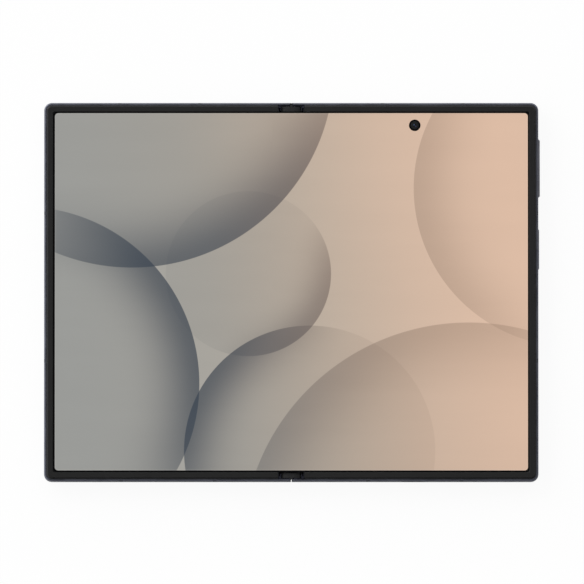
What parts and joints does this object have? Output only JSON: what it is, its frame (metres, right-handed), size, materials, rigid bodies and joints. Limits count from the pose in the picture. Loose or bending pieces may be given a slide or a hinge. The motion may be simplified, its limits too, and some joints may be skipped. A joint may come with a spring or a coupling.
{
  "type": "foldable smartphone",
  "caption": "Book-style folding phone lying open: two thin halves on a geared hinge, one square-cornered display across both, side keys and a raised camera bar on the back.",
  "frame": {"origin": "under the fold line at half the height of the body, on the plane that the camera rings rest on", "axes": "+X across the fold towards the half with the keys, +Y along the fold towards the top edge, +Z out of the inner display"},
  "size_m": [0.1619, 0.1238, 0.0071],
  "materials": {
    "frame_metal": "satin",
    "antenna_plastic": "satin",
    "bezel_plastic": "matte",
    "display_panel": "gloss",
    "cover_glass": "gloss",
    "rear_glass": "satin",
    "backing_steel": "satin",
    "panel_back": "satin",
    "battery_foil": "satin",
    "board": "satin",
    "speaker_plastic": "matte",
    "magnet_nickel": "satin",
    "hinge_steel": "satin",
    "hinge_metal": "satin",
    "screw_steel": "satin",
    "camera_black": "matte",
    "lens_glass": "gloss",
    "ring_metal": "polished",
    "flash_lens": "gloss",
    "socket_steel": "satin",
    "key_metal": "satin"
  },
  "bodies": {
    "left_half": {"left_frame": "frame_metal", "left_antenna_bands": "antenna_plastic", "left_bezel": "bezel_plastic", "inner_display_left": "display_panel", "display_plate_left": "backing_steel", "cover_glass": "cover_glass", "cover_display_panel": "panel_back", "cover_camera": "camera_black", "left_battery": "battery_foil", "left_sub_board": "board", "earpiece_speaker": "speaker_plastic", "left_magnets": "magnet_nickel", "left_hinge_arms": "hinge_steel", "left_hinge_screws": "screw_steel"},
    "hinge_spine": {"hinge_cover": "hinge_metal", "hinge_bases": "hinge_steel", "hinge_pins": "hinge_steel", "friction_clips": "hinge_steel", "hinge_end_caps": "hinge_metal", "inner_display_fold": "display_panel", "display_plate_fold": "backing_steel"},
    "right_half": {"right_frame": "frame_metal", "right_antenna_bands": "antenna_plastic", "right_bezel": "bezel_plastic", "inner_display_right": "display_panel", "display_plate_right": "backing_steel", "rear_cover": "rear_glass", "camera_island": "frame_metal", "camera_rings": "ring_metal", "camera_lenses": "lens_glass", "camera_modules": "camera_black", "flash_window": "flash_lens", "right_battery": "battery_foil", "main_board": "board", "inner_camera": "camera_black", "usb_c_socket": "socket_steel", "usb_c_tongue": "speaker_plastic", "bottom_speaker": "speaker_plastic", "vibration_motor": "socket_steel", "key_switches": "socket_steel", "sim_cage": "socket_steel", "right_magnets": "magnet_nickel", "right_hinge_arms": "hinge_steel", "right_hinge_screws": "screw_steel"},
    "left_idlers": {"idler_gears_left": "hinge_steel"},
    "right_idlers": {"idler_gears_right": "hinge_steel"},
    "left_wing": {"wing_plate_left": "backing_steel"},
    "right_wing": {"wing_plate_right": "backing_steel"},
    "volume_rocker": {"volume_key": "key_metal"},
    "power_button": {"power_key": "key_metal"},
    "card_tray": {"sim_tray": "key_metal"}
  },
  "joints": [
    {"name": "left_fold", "type": "hinge", "parent": "left_half", "child": "hinge_spine", "pos_m": [-0.00175, 0, 0.0054], "axis": [0, -1, 0], "range_deg": [0, 90], "deforming": ["inner_display_fold", "display_plate_fold"]},
    {"name": "right_fold", "type": "hinge", "parent": "hinge_spine", "child": "right_half", "pos_m": [0.00175, 0, 0.0054], "axis": [0, -1, 0], "range_deg": [0, 90]},
    {"name": "left_idler_turn", "type": "hinge", "parent": "hinge_spine", "child": "left_idlers", "pos_m": [-0.00075, 0, 0.00428], "axis": [0, -1, 0], "range_deg": [0, 90]},
    {"name": "right_idler_turn", "type": "hinge", "parent": "hinge_spine", "child": "right_idlers", "pos_m": [0.00075, 0, 0.00428], "axis": [0, -1, 0], "range_deg": [-90, 0]},
    {"name": "left_wing_tilt", "type": "hinge", "parent": "left_half", "child": "left_wing", "pos_m": [-0.0058, 0, 0.00593], "axis": [0, 1, 0], "range_deg": [0, 33.01]},
    {"name": "right_wing_tilt", "type": "hinge", "parent": "right_half", "child": "right_wing", "pos_m": [0.0058, 0, 0.00593], "axis": [0, -1, 0], "range_deg": [0, 33.01]},
    {"name": "volume_rock", "type": "hinge", "parent": "right_half", "child": "volume_rocker", "pos_m": [0.0799, 0.0406, 0.0045], "axis": [0, 0, 1], "range_deg": [-1.2, 1.2], "stiffness_Nm_per_rad": 1},
    {"name": "power_press", "type": "slide", "parent": "right_half", "child": "power_button", "axis": [-1, 0, 0], "range_m": [0, 0.00025], "stiffness_N_per_m": 6000},
    {"name": "tray_slide", "type": "slide", "parent": "right_half", "child": "card_tray", "axis": [0, -1, 0], "range_m": [0, 0.016]}
  ],
  "couplings": [
    {"joint": "right_fold", "follows": "left_fold", "ratio": 1},
    {"joint": "left_idler_turn", "follows": "left_fold", "ratio": 1},
    {"joint": "right_idler_turn", "follows": "left_fold", "ratio": -1},
    {"joint": "left_wing_tilt", "follows": "left_fold", "ratio": 0.36667},
    {"joint": "right_wing_tilt", "follows": "left_fold", "ratio": 0.36667}
  ]
}
